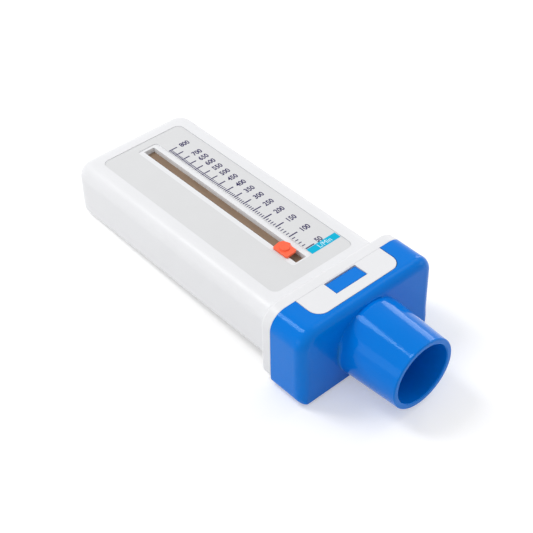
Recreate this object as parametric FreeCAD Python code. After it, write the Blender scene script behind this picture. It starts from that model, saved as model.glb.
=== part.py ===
"""Peak flow meter: housing with a sliding piston, a scale with a pointer and a push-on mouthpiece cap.

Millimetres. X runs across, Y along the device and Z up. The mouthpiece points to -Y.
While modelling, y = 0 is the cap's front face and z = 0 the cap's underside. On writing, every piece is
moved along Y, so that the origin is the middle of the footprint, under the device.
"""
import FreeCAD, Part
import math
import os

from FreeCAD import Vector

# Mouthpiece cap
SPIGOT_DIAMETER = 30.0
BORE_DIAMETER = 25.2
SPIGOT_LENGTH = 27.4
SPIGOT_ROOT_ROUND = 1.5
SPIGOT_RIM_ROUND = 0.6
AXIS_HEIGHT = 15.4
CAP_WIDTH = 67.6
CAP_HEIGHT = 34.5
CAP_DEPTH = 16.5
CAP_WALL = 2.0
CAP_FRONT_WALL = 2.2
CAP_TOP_CORNER = 7.5
CAP_BOTTOM_CORNER = 3.5
CAP_FRONT_ROUND = 4.0

# Housing
BODY_WIDTH = 58.6
BODY_BOTTOM = 4.9
BODY_TOP = 28.7
BODY_END = 145.3
BODY_TOP_CORNER = 6.5
BODY_BOTTOM_CORNER = 3.0
BODY_END_CORNER = 7.5
SIDE_WALL = 2.0
TOP_WALL = 2.8
FLOOR_WALL = 2.0
PARTING_HEIGHT = 14.5
COLLAR_THICKNESS = 3.9
COLLAR_BOTTOM_CORNER = 6.5
FLARE_LENGTH = 5.4
FLARE_CURVE = ((0, 1), (0.12, 0.95), (0.3, 0.74), (0.5, 0.42), (0.7, 0.16), (0.85, 0.04), (1, 0))
NECK_START = 5.0
NECK_WALL = 2.0
LIP_WIDTH = 0.8
LIP_HEIGHT = 1.5

# Tongue, its window and the latch of the cap
TONGUE_WIDTH = 42.6
TONGUE_FRONT = 4.9
TONGUE_THICKNESS = 2.0
TONGUE_CORNER = 5.0
TONGUE_DROP = 0.1
WINDOW_WIDTH = 15.8
WINDOW_NEAR = 9.4
WINDOW_FAR = 16.2
LATCH_TAB_THICKNESS = 1.8
LATCH_AXIS_Y = 3.4
LATCH_FAR_DROP = 0.45
LATCH_FAR_GAP = 0.5
LATCH_PRESS_ANGLE = 16.0

# Label and slot
LABEL_WIDTH = 40.8
LABEL_NEAR = 29.0
LABEL_FAR = 136.3
LABEL_THICKNESS = 0.3
LABEL_CORNER = 3.0
LABEL_SINK = 0.2
BAND_WIDTH = 10.0
BAND_NEAR = 35.7
BAND_FAR = 132.4
BAND_CORNER = 1.5
SLOT_WIDTH = 5.2
SLOT_NEAR = 36.6
SLOT_FAR = 131.0
STRIP_THICKNESS = 0.8
STRIP_OVERLAP = 3.0
SLIT_WIDTH = 1.9

# Pointer
POINTER_TIP_Y = 45.6
POINTER_NEAR_REACH = 5.3
POINTER_FAR_REACH = 3.6
POINTER_LEFT = 3.9
POINTER_RIGHT = 1.9
POINTER_TIP_REACH = 2.7
POINTER_THICKNESS = 0.9
KNOB_DIAMETER = 3.8
KNOB_HEIGHT = 0.6
BLADE_THICKNESS = 1.1
BLADE_LENGTH = 4.0
FOOT_LENGTH = 5.0
FOOT_WIDTH = 9.0
FOOT_THICKNESS = 1.4

# Piston, rod and spring
TRAVEL = 78.6
ROD_DIAMETER = 2.5
ROD_OVERHANG = 1.6
PISTON_Y = 39.0
PISTON_PLATE = 1.2
PISTON_SKIRT = 3.6
PISTON_SKIRT_WALL = 0.9
PISTON_GAP = 0.4
PISTON_CORNER = 3.5
PISTON_RIBS = 6
HUB_DIAMETER = 9.4
HUB_NEAR_LENGTH = 8.7
HUB_FAR_LENGTH = 8.0
HUB_SPIGOT_LENGTH = 2.0
BUSH_DIAMETER = 5.0
FINGER_WIDTH = 5.0
FINGER_HEIGHT = 3.2
SPRING_DIAMETER = 8.6
SPRING_WIRE = 0.7
SPRING_TURNS = 12
BUMPER_DIAMETER = 6.0
FRONT_BUMPER_LENGTH = 3.0
WASHER_THICKNESS = 0.6
CLIP_THICKNESS = 0.6
CLIP_DIAMETER = 5.6

# Rod holders
FRONT_HOLDER_Y = 22.6
HOLDER_THICKNESS = 2.4
HOLDER_HUB_DIAMETER = 8.0
FRONT_HUB_LENGTH = 2.0
REAR_HOLDER_WIDTH = 28.0
HOLDER_RAIL = 1.4
HOLDER_RIM = 2.2
SPOKE_WIDTH = 1.6

# Orifice plate and vents
ORIFICE_PLATE = 1.2
ORIFICE_UNDER_GAP = 1.5
ORIFICE_NEAR = 43.0
ORIFICE_FAR = 123.0
ORIFICE_NARROW = 1.0
ORIFICE_WIDE = 5.6
LEDGE_WIDTH = 2.0
VENT_COUNT = 12
VENT_PITCH = 6.0
VENT_FIRST_Y = 51.0
VENT_LENGTH = 15.0
VENT_WIDTH = 2.2
VENT_X = 11.5

# Inlet grille and gasket
GRILLE_DIAMETER = 26.4
GRILLE_DEPTH = 3.4
GRILLE_SPOKES = 8
GRILLE_BAR = 1.1
GRILLE_RIM = 1.1
GASKET_WIDTH = 2.4

# Screws
COVER_SCREW_X = 22.0
COVER_SCREW_NEAR = 29.6
COVER_SCREW_FAR = 137.0
COVER_SCREW_DIAMETER = 2.6
COVER_SCREW_HEAD = 5.0
COVER_SCREW_LENGTH = 16.0
BOSS_DIAMETER = 6.8
COUNTERBORE_DEPTH = 4.0
PLATE_SCREW_X = 20.0
PLATE_SCREW_EDGE = 3.0
PLATE_SCREW_DIAMETER = 2.0
PLATE_SCREW_HEAD = 3.8
PLATE_SCREW_HEAD_HEIGHT = 1.1
PLATE_SCREW_LENGTH = 3.2

# Clearances
SLIDE = 0.3
FIT = 0.2
CLOSE = 0.1
RUNNING = 0.05

# Derived places
AXIS = Vector(0, 0, AXIS_HEIGHT)
COLLAR_END = CAP_DEPTH + COLLAR_THICKNESS
FLARE_END = COLLAR_END + FLARE_LENGTH
SEAT_TOP = BODY_TOP - LABEL_SINK - LABEL_THICKNESS
LABEL_TOP = BODY_TOP - LABEL_SINK
CEILING = BODY_TOP - TOP_WALL
FLOOR = BODY_BOTTOM + FLOOR_WALL
CHAMBER_HALF = BODY_WIDTH / 2 - SIDE_WALL
TONGUE_TOP = CAP_HEIGHT - TONGUE_DROP
TONGUE_BOTTOM = TONGUE_TOP - TONGUE_THICKNESS
RECESS_FLOOR = TONGUE_BOTTOM - FIT
CAP_CEILING = RECESS_FLOOR - CAP_WALL
NECK_TOP = CAP_CEILING - SLIDE
NECK_HALF = CAP_WIDTH / 2 - CAP_WALL - SLIDE
NECK_BOTTOM = CAP_WALL + SLIDE
LATCH_HALF = WINDOW_WIDTH / 2 - SLIDE
LATCH_TOP = RECESS_FLOOR - FIT
LATCH_AXIS_Z = LATCH_TOP - LATCH_TAB_THICKNESS / 2
LATCH_DROP = (CAP_DEPTH - LATCH_AXIS_Y) * math.sin(math.radians(LATCH_PRESS_ANGLE))
LATCH_POCKET_FLOOR = LATCH_AXIS_Z - LATCH_DROP - LATCH_TAB_THICKNESS / 2 - SLIDE
STRIP_BOTTOM = CEILING - STRIP_THICKNESS
SLIT_LEFT = -SLOT_WIDTH / 2
SLIT_RIGHT = SLIT_LEFT + SLIT_WIDTH
BLADE_X = (SLIT_LEFT + SLIT_RIGHT) / 2
BLADE_NEAR = POINTER_TIP_Y - BLADE_LENGTH / 2
FOOT_TOP = STRIP_BOTTOM - SLIDE
FOOT_BOTTOM = FOOT_TOP - FOOT_THICKNESS
FOOT_NEAR = POINTER_TIP_Y - FOOT_LENGTH / 2
ORIFICE_PLATE_NEAR = COVER_SCREW_NEAR + BOSS_DIAMETER / 2 + 2 * FIT
ORIFICE_PLATE_FAR = COVER_SCREW_FAR - BOSS_DIAMETER / 2 - 2 * FIT
ORIFICE_UNDERSIDE = FLOOR + ORIFICE_UNDER_GAP
ORIFICE_TOP = ORIFICE_UNDERSIDE + ORIFICE_PLATE
PISTON_HALF = CHAMBER_HALF - LIP_WIDTH - CLOSE - PISTON_GAP
PISTON_BOTTOM = ORIFICE_TOP + PISTON_GAP
PISTON_TOP = STRIP_BOTTOM - PISTON_GAP
HUB_NEAR = PISTON_Y - HUB_NEAR_LENGTH
HUB_FAR = PISTON_Y + PISTON_PLATE + HUB_FAR_LENGTH
SPRING_MEAN_RADIUS = (SPRING_DIAMETER - SPRING_WIRE) / 2
SPRING_INNER_RADIUS = SPRING_DIAMETER / 2 - SPRING_WIRE
REAR_HOLDER_Y = BODY_END - BODY_TOP_CORNER - HOLDER_THICKNESS - FIT
ROD_START = FRONT_HOLDER_Y - ROD_OVERHANG
ROD_END = REAR_HOLDER_Y + HOLDER_THICKNESS + ROD_OVERHANG
WASHER_NEAR = REAR_HOLDER_Y - WASHER_THICKNESS - CLOSE
REAR_BUMPER_START = HUB_FAR + HUB_SPIGOT_LENGTH + TRAVEL + SLIDE
SPIGOT_RADIUS = SPIGOT_DIAMETER / 2
BORE_RADIUS = BORE_DIAMETER / 2
GRILLE_RADIUS = GRILLE_DIAMETER / 2
GRILLE_SEAT = CAP_FRONT_WALL - GRILLE_DEPTH - 2 * CLOSE
ORIGIN_SHIFT = Vector(0, (SPIGOT_LENGTH - BODY_END) / 2, 0)

ALONG = Vector(0, 1, 0)
UP = Vector(0, 0, 1)


def block(x0, x1, y0, y1, z0, z1):
    return Part.makeBox(x1 - x0, y1 - y0, z1 - z0, Vector(x0, y0, z0))


def rod(radius, y0, y1, x=0.0, z=AXIS_HEIGHT):
    return Part.makeCylinder(radius, y1 - y0, Vector(x, y0, z), ALONG)


def post(radius, x, y, z0, z1):
    return Part.makeCylinder(radius, z1 - z0, Vector(x, y, z0), UP)


def rounded_loop(points, radii, place):
    """Closed outline through the corners, each rounded by its radius; place turns (u, v) into a point."""
    edges = []
    count = len(points)
    starts = []
    ends = []
    for i, (corner, radius) in enumerate(zip(points, radii)):
        before = Vector(*points[i - 1], 0) - Vector(*corner, 0)
        after = Vector(*points[(i + 1) % count], 0) - Vector(*corner, 0)
        half = before.getAngle(after) / 2
        reach = radius / math.tan(half)
        middle = (before.normalize() + after.normalize()).normalize()
        here = Vector(*corner, 0)
        starts.append(here + before * reach)
        ends.append(here + after * reach)
        if radius > 0:
            tip = here + middle * (radius / math.sin(half) - radius)
            edges.append((starts[i], tip, ends[i]))
        else:
            edges.append(None)
    loop = []
    for i in range(count):
        if edges[i]:
            loop.append(Part.Arc(*[place(p.x, p.y) for p in edges[i]]).toShape())
        gap = starts[(i + 1) % count] - ends[i]
        if gap.Length > 1e-6:
            first = place(ends[i].x, ends[i].y)
            second = place(starts[(i + 1) % count].x, starts[(i + 1) % count].y)
            loop.append(Part.LineSegment(first, second).toShape())
    return Part.Wire(loop)


def section(half, bottom, top, top_round, bottom_round, y):
    """Rounded outline across the device, in the plane at y."""
    corners = [(-half, bottom), (half, bottom), (half, top), (-half, top)]
    radii = [bottom_round, bottom_round, top_round, top_round]
    return rounded_loop(corners, radii, lambda u, v: Vector(u, y, v))


def tunnel(half, bottom, top, top_round, bottom_round, y0, y1):
    """Solid with a rounded section, from y0 to y1."""
    face = Part.Face(section(half, bottom, top, top_round, bottom_round, y0))
    return face.extrude(ALONG * (y1 - y0))


def plate(x0, x1, y0, y1, z0, z1, corner):
    """Flat plate with rounded corners in plan."""
    corners = [(x0, y0), (x1, y0), (x1, y1), (x0, y1)]
    loop = rounded_loop(corners, [corner] * 4, lambda u, v: Vector(u, v, z0))
    return Part.Face(loop).extrude(UP * (z1 - z0))


def prism_along_x(points, x0, x1):
    """Solid with a (y, z) outline, from x0 to x1."""
    corners = [Vector(x0, y, z) for y, z in points]
    return Part.Face(Part.makePolygon(corners + corners[:1])).extrude(Vector(x1 - x0, 0, 0))


def edges_where(shape, test):
    return [edge for edge in shape.Edges if test(edge)]


def spans(edge, axis):
    low = getattr(edge.BoundBox, axis + "Min")
    high = getattr(edge.BoundBox, axis + "Max")
    return low, high


def is_circle(edge):
    return not edge.Degenerated and isinstance(edge.Curve, Part.Circle)


def join(first, *others):
    return first.fuse(list(others)).removeSplitter()


def cover_screw_places():
    return [(x, y) for y in (COVER_SCREW_NEAR, COVER_SCREW_FAR) for x in (-COVER_SCREW_X, COVER_SCREW_X)]


def plate_screw_places():
    rows = (ORIFICE_PLATE_NEAR + PLATE_SCREW_EDGE, ORIFICE_PLATE_FAR - PLATE_SCREW_EDGE)
    return [(x, y) for y in rows for x in (-PLATE_SCREW_X, PLATE_SCREW_X)]


def flare_section(along, share):
    """Outline between the body's (share 0) and the collar's (share 1), at a part of the flare's length."""
    def mix(body, collar):
        return body + share * (collar - body)

    return section(mix(BODY_WIDTH / 2, CAP_WIDTH / 2), mix(BODY_BOTTOM, 0), mix(BODY_TOP, CAP_HEIGHT),
                   mix(BODY_TOP_CORNER, CAP_TOP_CORNER), mix(BODY_BOTTOM_CORNER, COLLAR_BOTTOM_CORNER),
                   COLLAR_END + along * FLARE_LENGTH)


def round_ended(half, y0, y1, z0, z1, end_corner, top_corner, bottom_corner):
    """Long block with rounds at its far end and along its top and bottom edges."""
    body = block(-half, half, y0, y1, z0, z1)
    uprights = edges_where(body, lambda e: spans(e, "Y")[0] > y1 - 1e-6 and e.BoundBox.ZLength > 1)
    body = body.makeFillet(end_corner, uprights)
    rims = edges_where(body, lambda e: spans(e, "Z")[0] > z1 - 1e-6 and spans(e, "Y")[1] > y0 + 1)
    body = body.makeFillet(top_corner, rims)
    rims = edges_where(body, lambda e: spans(e, "Z")[1] < z0 + 1e-6 and spans(e, "Y")[1] > y0 + 1)
    return body.makeFillet(bottom_corner, rims)


def housing_outside():
    """Outer form of both shells: body, flare, collar and the neck inside the cap."""
    body = round_ended(BODY_WIDTH / 2, COLLAR_END, BODY_END, BODY_BOTTOM, BODY_TOP, BODY_END_CORNER,
                       BODY_TOP_CORNER, BODY_BOTTOM_CORNER)
    collar = tunnel(CAP_WIDTH / 2, 0, CAP_HEIGHT, CAP_TOP_CORNER, COLLAR_BOTTOM_CORNER, CAP_DEPTH + CLOSE,
                    COLLAR_END)
    flare = Part.makeLoft([flare_section(along, share) for along, share in FLARE_CURVE], True, False)
    neck_corner = CAP_TOP_CORNER - CAP_WALL - SLIDE
    neck = tunnel(NECK_HALF, NECK_BOTTOM, NECK_TOP, neck_corner, CAP_BOTTOM_CORNER, NECK_START, COLLAR_END)
    return join(body, collar, flare, neck)


def housing_inside():
    """Hollow of both shells: the piston's chamber and the wider neck."""
    chamber = round_ended(CHAMBER_HALF, CAP_DEPTH + CLOSE, BODY_END - SIDE_WALL, FLOOR, CEILING,
                          BODY_END_CORNER - SIDE_WALL, BODY_TOP_CORNER - SIDE_WALL,
                          BODY_BOTTOM_CORNER - SIDE_WALL)
    mouth = tunnel(NECK_HALF - NECK_WALL, NECK_BOTTOM + NECK_WALL, NECK_TOP - NECK_WALL, 3.0, 2.0,
                   NECK_START - 1, COLLAR_END - COLLAR_THICKNESS / 2)
    return join(chamber, mouth)


def latch_pocket():
    """Room over the neck for the latch tab when it is pressed, and the wall that closes it below."""
    half = LATCH_HALF + 2 * SLIDE
    pocket = block(-half, half, NECK_START - 1, CAP_DEPTH + CLOSE, LATCH_POCKET_FLOOR, NECK_TOP + 1)
    wall = block(-half - NECK_WALL, half + NECK_WALL, NECK_START, CAP_DEPTH + COLLAR_THICKNESS / 2,
                 LATCH_POCKET_FLOOR - NECK_WALL, NECK_TOP - NECK_WALL / 2)
    return pocket, wall


def holder_rails(z0, z1):
    """Pairs of ribs that hold the two rod holders in the shells."""
    rails = []
    reach = 3 * HOLDER_RAIL
    front = (FRONT_HOLDER_Y, CHAMBER_HALF + SIDE_WALL / 2)
    rear = (REAR_HOLDER_Y, REAR_HOLDER_WIDTH / 2)
    for y, outer in (front, rear):
        for near in (y - CLOSE - HOLDER_RAIL, y + HOLDER_THICKNESS + CLOSE):
            rails.append(block(outer - reach, outer, near, near + HOLDER_RAIL, z0, z1))
            rails.append(block(-outer, reach - outer, near, near + HOLDER_RAIL, z0, z1))
    inside = tunnel(CHAMBER_HALF + SIDE_WALL / 2, FLOOR - FLOOR_WALL / 2, CEILING + TOP_WALL / 2,
                    BODY_TOP_CORNER - SIDE_WALL / 2, BODY_BOTTOM_CORNER - SIDE_WALL / 2, COLLAR_END,
                    BODY_END)
    return [rail.common(inside) for rail in rails]


def front_shell():
    keep = block(-CAP_WIDTH, CAP_WIDTH, 0, BODY_END + 1, PARTING_HEIGHT, CAP_HEIGHT + 1)
    shell = housing_outside().common(keep).cut(housing_inside())
    pocket, wall = latch_pocket()
    ceiling = CEILING + TOP_WALL / 2
    bosses = [post(BOSS_DIAMETER / 2, x, y, PARTING_HEIGHT, ceiling) for x, y in cover_screw_places()]
    rails = holder_rails(CEILING - 2 * HOLDER_RAIL, ceiling)
    tongue = plate(-TONGUE_WIDTH / 2, TONGUE_WIDTH / 2, TONGUE_FRONT, COLLAR_END + TONGUE_CORNER,
                   TONGUE_BOTTOM, TONGUE_TOP, TONGUE_CORNER)
    tongue = tongue.common(block(-TONGUE_WIDTH, TONGUE_WIDTH, 0, COLLAR_END - 1, 0, CAP_HEIGHT))
    shell = join(shell, wall, tongue, *bosses, *rails)
    window = block(-WINDOW_WIDTH / 2, WINDOW_WIDTH / 2, WINDOW_NEAR, WINDOW_FAR, TONGUE_BOTTOM - 1,
                   CAP_HEIGHT + 1)
    seat = plate(-LABEL_WIDTH / 2 - CLOSE, LABEL_WIDTH / 2 + CLOSE, LABEL_NEAR - CLOSE, LABEL_FAR + CLOSE,
                 SEAT_TOP, BODY_TOP + 1, LABEL_CORNER + CLOSE)
    slot = block(-SLOT_WIDTH / 2, SLOT_WIDTH / 2, SLOT_NEAR, SLOT_FAR, CEILING - 1, BODY_TOP + 1)
    pilots = [post(COVER_SCREW_DIAMETER / 2 + RUNNING, x, y, PARTING_HEIGHT - 1, CEILING - 1)
              for x, y in cover_screw_places()]
    return shell.cut([pocket, window, seat, slot, *pilots])


def vents():
    """Two columns of slots in the floor, with round ends."""
    slots = []
    for row in range(VENT_COUNT):
        y = VENT_FIRST_Y + row * VENT_PITCH
        for side in (-1, 1):
            x = side * VENT_X
            slots.append(plate(x - VENT_LENGTH / 2, x + VENT_LENGTH / 2, y - VENT_WIDTH / 2,
                               y + VENT_WIDTH / 2, BODY_BOTTOM - 1, FLOOR + 0.5, VENT_WIDTH / 2 - 0.001))
    return slots


def parting_lip():
    """Thin lip on the lower half that centres the upper half over it."""
    outer = CHAMBER_HALF - CLOSE
    inner = outer - LIP_WIDTH
    top = PARTING_HEIGHT + LIP_HEIGHT
    near = FRONT_HOLDER_Y + HOLDER_THICKNESS + 2 * HOLDER_RAIL
    far = REAR_HOLDER_Y - 2 * HOLDER_RAIL
    base = PARTING_HEIGHT - 2 * LIP_HEIGHT
    return [block(inner, outer + CLOSE, near, far, base, PARTING_HEIGHT),
            block(inner, outer, near, far, base, top),
            block(-outer - CLOSE, -inner, near, far, base, PARTING_HEIGHT),
            block(-outer, -inner, near, far, base, top)]


def rear_cover():
    keep = block(-CAP_WIDTH, CAP_WIDTH, 0, BODY_END + 1, -1, PARTING_HEIGHT)
    cover = housing_outside().common(keep).cut(housing_inside())
    floor = FLOOR - FLOOR_WALL / 2
    bosses = [post(BOSS_DIAMETER / 2, x, y, floor, PARTING_HEIGHT) for x, y in cover_screw_places()]
    rails = holder_rails(floor, FLOOR + 2 * HOLDER_RAIL)
    ledges = [block(side * CHAMBER_HALF - LEDGE_WIDTH, side * CHAMBER_HALF + LEDGE_WIDTH,
                    ORIFICE_PLATE_NEAR, ORIFICE_PLATE_FAR, floor, ORIFICE_UNDERSIDE) for side in (-1, 1)]
    inside = block(-CHAMBER_HALF - 0.5, CHAMBER_HALF + 0.5, 0, BODY_END, 0, CAP_HEIGHT)
    ledges = [ledge.common(inside) for ledge in ledges]
    bridges = [block(-CHAMBER_HALF, CHAMBER_HALF, y, y + LEDGE_WIDTH, floor, ORIFICE_UNDERSIDE)
               for y in (ORIFICE_PLATE_NEAR, ORIFICE_PLATE_FAR - LEDGE_WIDTH)]
    posts = [post(PLATE_SCREW_HEAD / 2 + 0.6, x, y, floor, ORIFICE_UNDERSIDE)
             for x, y in plate_screw_places()]
    cover = join(cover, *bosses, *rails, *ledges, *bridges, *posts, *parting_lip())
    holes = []
    for x, y in cover_screw_places():
        holes.append(post(COVER_SCREW_DIAMETER / 2 + FIT, x, y, 0, PARTING_HEIGHT + 1))
        holes.append(post(COVER_SCREW_HEAD / 2 + FIT, x, y, 0, BODY_BOTTOM + COUNTERBORE_DEPTH))
    for x, y in plate_screw_places():
        holes.append(post(PLATE_SCREW_DIAMETER / 2 + RUNNING, x, y, BODY_BOTTOM + 1, ORIFICE_UNDERSIDE + 1))
    return cover.cut(holes + vents())


def scale_label():
    sheet = plate(-LABEL_WIDTH / 2, LABEL_WIDTH / 2, LABEL_NEAR, LABEL_FAR, SEAT_TOP, LABEL_TOP,
                  LABEL_CORNER)
    band = plate(-BAND_WIDTH / 2, BAND_WIDTH / 2, BAND_NEAR, BAND_FAR, SEAT_TOP - 1, LABEL_TOP + 1,
                 BAND_CORNER)
    return sheet.cut(band)


def slot_strip():
    """Strip under the slot; beside it stays the slit for the pointer's blade."""
    return block(SLIT_RIGHT, SLOT_WIDTH / 2 + STRIP_OVERLAP, SLOT_NEAR - STRIP_OVERLAP,
                 SLOT_FAR + STRIP_OVERLAP, STRIP_BOTTOM, CEILING)


def pointer():
    """Plate over the slot with its tip towards the scale, a round knob and the blade through the slit."""
    near = POINTER_TIP_Y - POINTER_NEAR_REACH
    far = POINTER_TIP_Y + POINTER_FAR_REACH
    corners = [(-POINTER_LEFT, near), (POINTER_RIGHT, near + 0.5), (POINTER_RIGHT, POINTER_TIP_Y - 1.3),
               (POINTER_TIP_REACH, POINTER_TIP_Y), (POINTER_RIGHT - 0.2, far - 0.9), (0, far),
               (-POINTER_LEFT, far - 0.8)]
    base = SEAT_TOP + FIT
    top = base + POINTER_THICKNESS
    loop = rounded_loop(corners, [0.9, 1.2, 0.3, 0.3, 0.6, 1.5, 0.6], lambda u, v: Vector(u, v, base))
    head = Part.Face(loop).extrude(UP * POINTER_THICKNESS)
    upper = edges_where(head, lambda e: spans(e, "Z")[0] > top - 1e-6)
    head = head.makeFillet(POINTER_THICKNESS / 3, upper)
    knob = post(KNOB_DIAMETER / 2, (POINTER_RIGHT - POINTER_LEFT) / 2, (near + far) / 2, base,
                top + KNOB_HEIGHT)
    rim = edges_where(knob, lambda e: spans(e, "Z")[0] > top + KNOB_HEIGHT - 1e-6)
    knob = knob.makeFillet(KNOB_HEIGHT * 0.6, rim)
    blade = block(BLADE_X - BLADE_THICKNESS / 2, BLADE_X + BLADE_THICKNESS / 2, BLADE_NEAR,
                  BLADE_NEAR + BLADE_LENGTH, FOOT_BOTTOM - 0.4, base + POINTER_THICKNESS / 2)
    return join(head, knob, blade)


def pointer_foot():
    foot = plate(BLADE_X - FOOT_WIDTH / 2, BLADE_X + FOOT_WIDTH / 2, FOOT_NEAR, FOOT_NEAR + FOOT_LENGTH,
                 FOOT_BOTTOM, FOOT_TOP, 0.6)
    hole = block(BLADE_X - BLADE_THICKNESS / 2 - RUNNING, BLADE_X + BLADE_THICKNESS / 2 + RUNNING,
                 BLADE_NEAR - RUNNING, BLADE_NEAR + BLADE_LENGTH + RUNNING, FOOT_BOTTOM - 1, FOOT_TOP + 1)
    return foot.cut(hole)


def pointer_brake():
    """Felt pad on the foot, beside the blade, that rubs under the shell."""
    left = BLADE_X - FOOT_WIDTH / 2 + 0.3
    right = SLIT_LEFT - SLIDE
    return block(left, right, FOOT_NEAR + 0.5, FOOT_NEAR + FOOT_LENGTH - 0.5, FOOT_TOP, CEILING - CLOSE)


def latch_opening():
    half = LATCH_HALF + SLIDE
    near = LATCH_AXIS_Y - LATCH_TAB_THICKNESS / 2 - SLIDE
    slot = block(-half, half, near, CAP_DEPTH + 1, CAP_CEILING - 1, LATCH_TOP + SLIDE)
    top = block(-half, half, TONGUE_FRONT - SLIDE, CAP_DEPTH + 1, CAP_CEILING, CAP_HEIGHT)
    return slot.fuse(top)


def spigot_root():
    """Hollow round where the spigot meets the cap's face, cut off at the cap's outline."""
    def at(radius, y):
        return AXIS + Vector(radius, y, 0)

    inner = (SPIGOT_RADIUS + BORE_RADIUS) / 2
    reach = SPIGOT_ROOT_ROUND
    middle = SPIGOT_RADIUS + reach - reach * math.sqrt(0.5)
    lines = [(at(inner, -reach), at(inner, 1)), (at(inner, 1), at(SPIGOT_RADIUS + reach, 1)),
             (at(SPIGOT_RADIUS + reach, 1), at(SPIGOT_RADIUS + reach, 0)),
             (at(SPIGOT_RADIUS, -reach), at(inner, -reach))]
    edges = [Part.LineSegment(a, b).toShape() for a, b in lines]
    hollow = Part.Arc(at(SPIGOT_RADIUS + reach, 0), at(middle, -reach + reach * math.sqrt(0.5)),
                      at(SPIGOT_RADIUS, -reach))
    edges.insert(3, hollow.toShape())
    ring = Part.Face(Part.Wire(edges)).revolve(AXIS, ALONG, 360)
    outline = tunnel(CAP_WIDTH / 2, 0, CAP_HEIGHT, CAP_TOP_CORNER, CAP_BOTTOM_CORNER, -reach - 1, 2)
    return ring.common(outline)


def mouthpiece_cap():
    shell = tunnel(CAP_WIDTH / 2, 0, CAP_HEIGHT, CAP_TOP_CORNER, CAP_BOTTOM_CORNER, 0, CAP_DEPTH)
    rim = edges_where(shell, lambda e: spans(e, "Y")[1] < 1e-6
                      and spans(e, "Z")[1] > CAP_BOTTOM_CORNER + 1e-3)
    shell = shell.makeFillet(CAP_FRONT_ROUND, rim)
    hollow = tunnel(CAP_WIDTH / 2 - CAP_WALL, CAP_WALL, CAP_CEILING, CAP_TOP_CORNER - CAP_WALL,
                    CAP_BOTTOM_CORNER - CAP_WALL, CAP_FRONT_WALL, CAP_DEPTH + 1)
    tube = rod(SPIGOT_RADIUS, -SPIGOT_LENGTH, CAP_FRONT_WALL)
    shell = join(shell.cut(hollow), tube, spigot_root())
    bore = rod(BORE_RADIUS, -SPIGOT_LENGTH - 1, GRILLE_SEAT + 1)
    grille_room = rod(GRILLE_RADIUS + RUNNING, GRILLE_SEAT, CAP_FRONT_WALL + 1)
    recess = plate(-TONGUE_WIDTH / 2 - SLIDE, TONGUE_WIDTH / 2 + SLIDE, TONGUE_FRONT - SLIDE,
                   CAP_DEPTH + TONGUE_CORNER + 1, RECESS_FLOOR, CAP_HEIGHT + 1, TONGUE_CORNER + SLIDE)
    shell = shell.cut([bore, grille_room, recess, latch_opening()])
    rims = edges_where(shell, lambda e: abs(e.BoundBox.YMin + SPIGOT_LENGTH) < 1e-6
                       and abs(e.BoundBox.YMax + SPIGOT_LENGTH) < 1e-6)
    return shell.makeFillet(SPIGOT_RIM_ROUND, rims)


def cap_latch():
    """Springy tab with the wedge that stands in the tongue's window."""
    half = LATCH_HALF
    radius = LATCH_TAB_THICKNESS / 2
    tab = block(-half, half, LATCH_AXIS_Y, CAP_DEPTH - SLIDE, LATCH_TOP - LATCH_TAB_THICKNESS, LATCH_TOP)
    root = Part.makeCylinder(radius, 2 * half, Vector(-half, LATCH_AXIS_Y, LATCH_AXIS_Z), Vector(1, 0, 0))
    near = WINDOW_NEAR + SLIDE
    far = WINDOW_FAR - LATCH_FAR_GAP
    wedge = prism_along_x([(near, LATCH_AXIS_Z), (far, LATCH_AXIS_Z), (far, TONGUE_TOP - LATCH_FAR_DROP),
                           (near, TONGUE_TOP - CLOSE)], -half, half)
    return join(tab, root, wedge)


def cap_gasket():
    """Flat seal between the cap's front wall and the neck."""
    y0 = CAP_FRONT_WALL + CLOSE
    y1 = NECK_START - CLOSE
    corner = CAP_TOP_CORNER - CAP_WALL - SLIDE
    outer = tunnel(NECK_HALF, NECK_BOTTOM, NECK_TOP - SLIDE, corner, corner / 2, y0, y1)
    inner = tunnel(NECK_HALF - GASKET_WIDTH, NECK_BOTTOM + GASKET_WIDTH, NECK_TOP - SLIDE - GASKET_WIDTH,
                   corner / 2, corner / 4, y0 - 1, y1 + 1)
    return outer.cut(inner)


def inlet_grille():
    """Round grid in the end of the bore: rim, hub, a middle ring and spokes."""
    y0 = GRILLE_SEAT + CLOSE
    y1 = y0 + GRILLE_DEPTH
    half = GRILLE_BAR / 2
    middle_radius = GRILLE_RADIUS / 2
    rim = rod(GRILLE_RADIUS, y0, y1).cut(rod(GRILLE_RADIUS - GRILLE_RIM, y0 - 1, y1 + 1))
    middle = rod(middle_radius + half, y0, y1).cut(rod(middle_radius - half, y0 - 1, y1 + 1))
    hub = rod(2 * GRILLE_BAR, y0, y1)
    spokes = []
    for i in range(GRILLE_SPOKES):
        bar = block(GRILLE_BAR, GRILLE_RADIUS - GRILLE_RIM / 2, y0, y1, AXIS_HEIGHT - half,
                    AXIS_HEIGHT + half)
        bar.rotate(AXIS, ALONG, i * 360 / GRILLE_SPOKES)
        spokes.append(bar)
    return join(rim, middle, hub, *spokes)


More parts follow.
